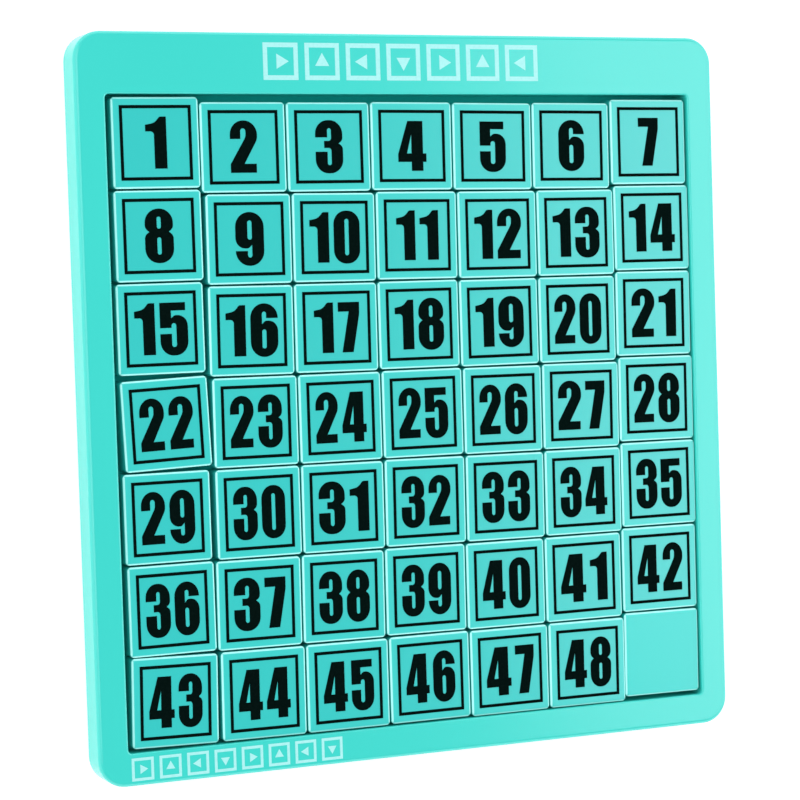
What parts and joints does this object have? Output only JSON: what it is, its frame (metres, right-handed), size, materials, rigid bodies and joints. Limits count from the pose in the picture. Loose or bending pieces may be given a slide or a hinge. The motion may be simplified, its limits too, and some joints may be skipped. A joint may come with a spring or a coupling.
{
  "type": "sliding number puzzle",
  "caption": "Square tray with a flat rim that holds loose square tiles, numbered in order, on a steel floor; every tile lifts out.",
  "frame": {"origin": "middle of the underside of the back cover", "axes": "+Z out of the open face with the numbers, +Y towards the wide rim above the first row, +X along the rows from the first number to the last"},
  "size_m": [0.1778, 0.1862, 0.0092],
  "materials": {
    "frame_plastic": "moulded gloss plastic, turquoise",
    "cover_plastic": "moulded plastic with a fine satin texture, turquoise",
    "tile_plastic": "moulded semi-gloss plastic, turquoise",
    "coated_steel": "thin steel sheet with a dark turquoise powder coat"
  },
  "bodies": {
    "tray": {"front_frame": "frame_plastic", "back_cover": "cover_plastic", "steel_sheet": "coated_steel"},
    "tile_01": {"tile_01": "tile_plastic"},
    "tile_02": {"tile_02": "tile_plastic"},
    "tile_03": {"tile_03": "tile_plastic"},
    "tile_04": {"tile_04": "tile_plastic"},
    "tile_05": {"tile_05": "tile_plastic"},
    "tile_06": {"tile_06": "tile_plastic"},
    "tile_07": {"tile_07": "tile_plastic"},
    "tile_08": {"tile_08": "tile_plastic"},
    "tile_09": {"tile_09": "tile_plastic"},
    "tile_10": {"tile_10": "tile_plastic"},
    "tile_11": {"tile_11": "tile_plastic"},
    "tile_12": {"tile_12": "tile_plastic"},
    "tile_13": {"tile_13": "tile_plastic"},
    "tile_14": {"tile_14": "tile_plastic"},
    "tile_15": {"tile_15": "tile_plastic"},
    "tile_16": {"tile_16": "tile_plastic"},
    "tile_17": {"tile_17": "tile_plastic"},
    "tile_18": {"tile_18": "tile_plastic"},
    "tile_19": {"tile_19": "tile_plastic"},
    "tile_20": {"tile_20": "tile_plastic"},
    "tile_21": {"tile_21": "tile_plastic"},
    "tile_22": {"tile_22": "tile_plastic"},
    "tile_23": {"tile_23": "tile_plastic"},
    "tile_24": {"tile_24": "tile_plastic"},
    "tile_25": {"tile_25": "tile_plastic"},
    "tile_26": {"tile_26": "tile_plastic"},
    "tile_27": {"tile_27": "tile_plastic"},
    "tile_28": {"tile_28": "tile_plastic"},
    "tile_29": {"tile_29": "tile_plastic"},
    "tile_30": {"tile_30": "tile_plastic"},
    "tile_31": {"tile_31": "tile_plastic"},
    "tile_32": {"tile_32": "tile_plastic"},
    "tile_33": {"tile_33": "tile_plastic"},
    "tile_34": {"tile_34": "tile_plastic"},
    "tile_35": {"tile_35": "tile_plastic"},
    "tile_36": {"tile_36": "tile_plastic"},
    "tile_37": {"tile_37": "tile_plastic"},
    "tile_38": {"tile_38": "tile_plastic"},
    "tile_39": {"tile_39": "tile_plastic"},
    "tile_40": {"tile_40": "tile_plastic"},
    "tile_41": {"tile_41": "tile_plastic"},
    "tile_42": {"tile_42": "tile_plastic"},
    "tile_43": {"tile_43": "tile_plastic"},
    "tile_44": {"tile_44": "tile_plastic"},
    "tile_45": {"tile_45": "tile_plastic"},
    "tile_46": {"tile_46": "tile_plastic"},
    "tile_47": {"tile_47": "tile_plastic"},
    "tile_48": {"tile_48": "tile_plastic"},
    "tile_blank": {"tile_blank": "tile_plastic"}
  },
  "joints": [
    {"name": "lift_tile_01", "type": "slide", "parent": "tray", "child": "tile_01", "axis": [0, 0, 1], "range_m": [0, 0.02]},
    {"name": "lift_tile_02", "type": "slide", "parent": "tray", "child": "tile_02", "axis": [0, 0, 1], "range_m": [0, 0.02]},
    {"name": "lift_tile_03", "type": "slide", "parent": "tray", "child": "tile_03", "axis": [0, 0, 1], "range_m": [0, 0.02]},
    {"name": "lift_tile_04", "type": "slide", "parent": "tray", "child": "tile_04", "axis": [0, 0, 1], "range_m": [0, 0.02]},
    {"name": "lift_tile_05", "type": "slide", "parent": "tray", "child": "tile_05", "axis": [0, 0, 1], "range_m": [0, 0.02]},
    {"name": "lift_tile_06", "type": "slide", "parent": "tray", "child": "tile_06", "axis": [0, 0, 1], "range_m": [0, 0.02]},
    {"name": "lift_tile_07", "type": "slide", "parent": "tray", "child": "tile_07", "axis": [0, 0, 1], "range_m": [0, 0.02]},
    {"name": "lift_tile_08", "type": "slide", "parent": "tray", "child": "tile_08", "axis": [0, 0, 1], "range_m": [0, 0.02]},
    {"name": "lift_tile_09", "type": "slide", "parent": "tray", "child": "tile_09", "axis": [0, 0, 1], "range_m": [0, 0.02]},
    {"name": "lift_tile_10", "type": "slide", "parent": "tray", "child": "tile_10", "axis": [0, 0, 1], "range_m": [0, 0.02]},
    {"name": "lift_tile_11", "type": "slide", "parent": "tray", "child": "tile_11", "axis": [0, 0, 1], "range_m": [0, 0.02]},
    {"name": "lift_tile_12", "type": "slide", "parent": "tray", "child": "tile_12", "axis": [0, 0, 1], "range_m": [0, 0.02]},
    {"name": "lift_tile_13", "type": "slide", "parent": "tray", "child": "tile_13", "axis": [0, 0, 1], "range_m": [0, 0.02]},
    {"name": "lift_tile_14", "type": "slide", "parent": "tray", "child": "tile_14", "axis": [0, 0, 1], "range_m": [0, 0.02]},
    {"name": "lift_tile_15", "type": "slide", "parent": "tray", "child": "tile_15", "axis": [0, 0, 1], "range_m": [0, 0.02]},
    {"name": "lift_tile_16", "type": "slide", "parent": "tray", "child": "tile_16", "axis": [0, 0, 1], "range_m": [0, 0.02]},
    {"name": "lift_tile_17", "type": "slide", "parent": "tray", "child": "tile_17", "axis": [0, 0, 1], "range_m": [0, 0.02]},
    {"name": "lift_tile_18", "type": "slide", "parent": "tray", "child": "tile_18", "axis": [0, 0, 1], "range_m": [0, 0.02]},
    {"name": "lift_tile_19", "type": "slide", "parent": "tray", "child": "tile_19", "axis": [0, 0, 1], "range_m": [0, 0.02]},
    {"name": "lift_tile_20", "type": "slide", "parent": "tray", "child": "tile_20", "axis": [0, 0, 1], "range_m": [0, 0.02]},
    {"name": "lift_tile_21", "type": "slide", "parent": "tray", "child": "tile_21", "axis": [0, 0, 1], "range_m": [0, 0.02]},
    {"name": "lift_tile_22", "type": "slide", "parent": "tray", "child": "tile_22", "axis": [0, 0, 1], "range_m": [0, 0.02]},
    {"name": "lift_tile_23", "type": "slide", "parent": "tray", "child": "tile_23", "axis": [0, 0, 1], "range_m": [0, 0.02]},
    {"name": "lift_tile_24", "type": "slide", "parent": "tray", "child": "tile_24", "axis": [0, 0, 1], "range_m": [0, 0.02]},
    {"name": "lift_tile_25", "type": "slide", "parent": "tray", "child": "tile_25", "axis": [0, 0, 1], "range_m": [0, 0.02]},
    {"name": "lift_tile_26", "type": "slide", "parent": "tray", "child": "tile_26", "axis": [0, 0, 1], "range_m": [0, 0.02]},
    {"name": "lift_tile_27", "type": "slide", "parent": "tray", "child": "tile_27", "axis": [0, 0, 1], "range_m": [0, 0.02]},
    {"name": "lift_tile_28", "type": "slide", "parent": "tray", "child": "tile_28", "axis": [0, 0, 1], "range_m": [0, 0.02]},
    {"name": "lift_tile_29", "type": "slide", "parent": "tray", "child": "tile_29", "axis": [0, 0, 1], "range_m": [0, 0.02]},
    {"name": "lift_tile_30", "type": "slide", "parent": "tray", "child": "tile_30", "axis": [0, 0, 1], "range_m": [0, 0.02]},
    {"name": "lift_tile_31", "type": "slide", "parent": "tray", "child": "tile_31", "axis": [0, 0, 1], "range_m": [0, 0.02]},
    {"name": "lift_tile_32", "type": "slide", "parent": "tray", "child": "tile_32", "axis": [0, 0, 1], "range_m": [0, 0.02]},
    {"name": "lift_tile_33", "type": "slide", "parent": "tray", "child": "tile_33", "axis": [0, 0, 1], "range_m": [0, 0.02]},
    {"name": "lift_tile_34", "type": "slide", "parent": "tray", "child": "tile_34", "axis": [0, 0, 1], "range_m": [0, 0.02]},
    {"name": "lift_tile_35", "type": "slide", "parent": "tray", "child": "tile_35", "axis": [0, 0, 1], "range_m": [0, 0.02]},
    {"name": "lift_tile_36", "type": "slide", "parent": "tray", "child": "tile_36", "axis": [0, 0, 1], "range_m": [0, 0.02]},
    {"name": "lift_tile_37", "type": "slide", "parent": "tray", "child": "tile_37", "axis": [0, 0, 1], "range_m": [0, 0.02]},
    {"name": "lift_tile_38", "type": "slide", "parent": "tray", "child": "tile_38", "axis": [0, 0, 1], "range_m": [0, 0.02]},
    {"name": "lift_tile_39", "type": "slide", "parent": "tray", "child": "tile_39", "axis": [0, 0, 1], "range_m": [0, 0.02]},
    {"name": "lift_tile_40", "type": "slide", "parent": "tray", "child": "tile_40", "axis": [0, 0, 1], "range_m": [0, 0.02]},
    {"name": "lift_tile_41", "type": "slide", "parent": "tray", "child": "tile_41", "axis": [0, 0, 1], "range_m": [0, 0.02]},
    {"name": "lift_tile_42", "type": "slide", "parent": "tray", "child": "tile_42", "axis": [0, 0, 1], "range_m": [0, 0.02]},
    {"name": "lift_tile_43", "type": "slide", "parent": "tray", "child": "tile_43", "axis": [0, 0, 1], "range_m": [0, 0.02]},
    {"name": "lift_tile_44", "type": "slide", "parent": "tray", "child": "tile_44", "axis": [0, 0, 1], "range_m": [0, 0.02]},
    {"name": "lift_tile_45", "type": "slide", "parent": "tray", "child": "tile_45", "axis": [0, 0, 1], "range_m": [0, 0.02]},
    {"name": "lift_tile_46", "type": "slide", "parent": "tray", "child": "tile_46", "axis": [0, 0, 1], "range_m": [0, 0.02]},
    {"name": "lift_tile_47", "type": "slide", "parent": "tray", "child": "tile_47", "axis": [0, 0, 1], "range_m": [0, 0.02]},
    {"name": "lift_tile_48", "type": "slide", "parent": "tray", "child": "tile_48", "axis": [0, 0, 1], "range_m": [0, 0.02]},
    {"name": "lift_tile_blank", "type": "slide", "parent": "tray", "child": "tile_blank", "axis": [0, 0, 1], "range_m": [0, 0.02]}
  ]
}
